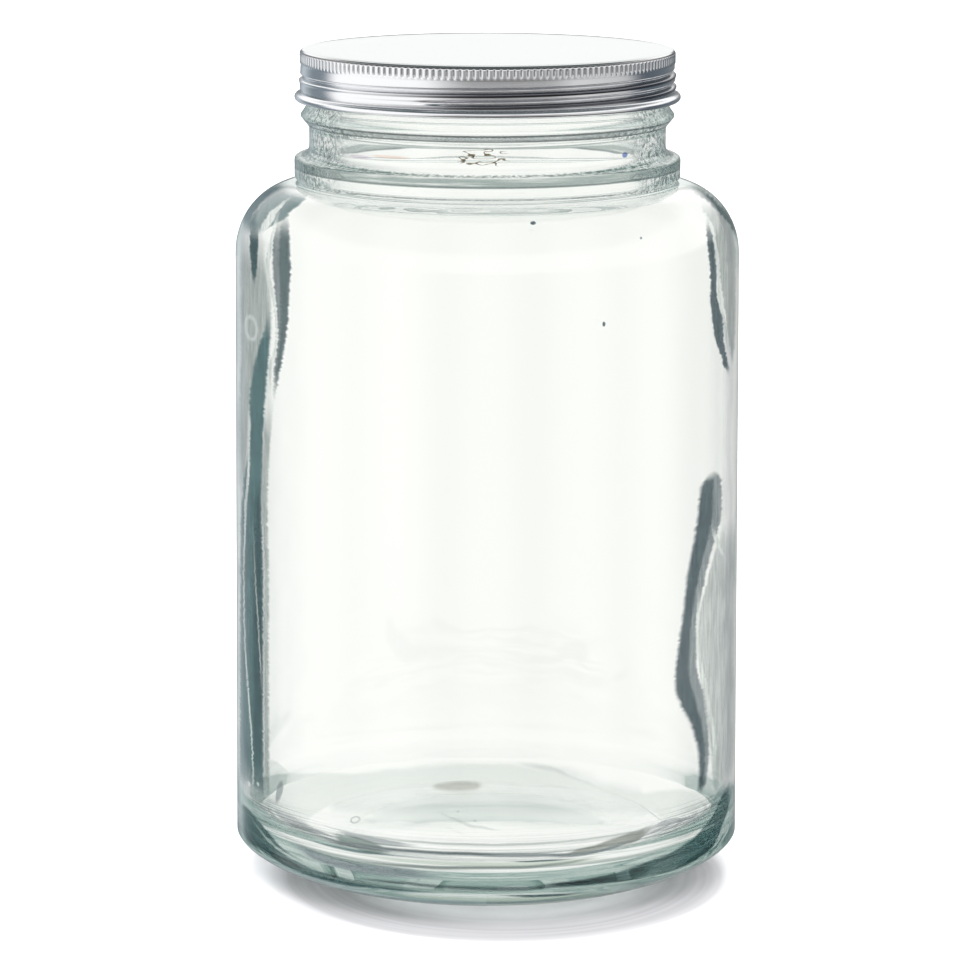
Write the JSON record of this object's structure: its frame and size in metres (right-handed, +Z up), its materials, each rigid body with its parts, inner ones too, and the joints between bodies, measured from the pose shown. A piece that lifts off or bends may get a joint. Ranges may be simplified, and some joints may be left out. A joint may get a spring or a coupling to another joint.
{
  "type": "glass storage jar",
  "caption": "Tall wide-mouthed clear glass storage jar with a collared neck and a ribbed aluminium screw lid.",
  "frame": {"origin": "on the jar's axis, at the height of the flat ring that it stands on", "axes": "+Z up along the jar's axis, -Y towards the viewer of the front"},
  "size_m": [0.1546, 0.1546, 0.2513],
  "materials": {
    "clear_glass": "clear pressed glass, faint green-grey where thick",
    "satin_aluminium": "satin, rolled"
  },
  "bodies": {
    "root": {"jar": "clear_glass", "lid": "satin_aluminium"}
  },
  "joints": []
}
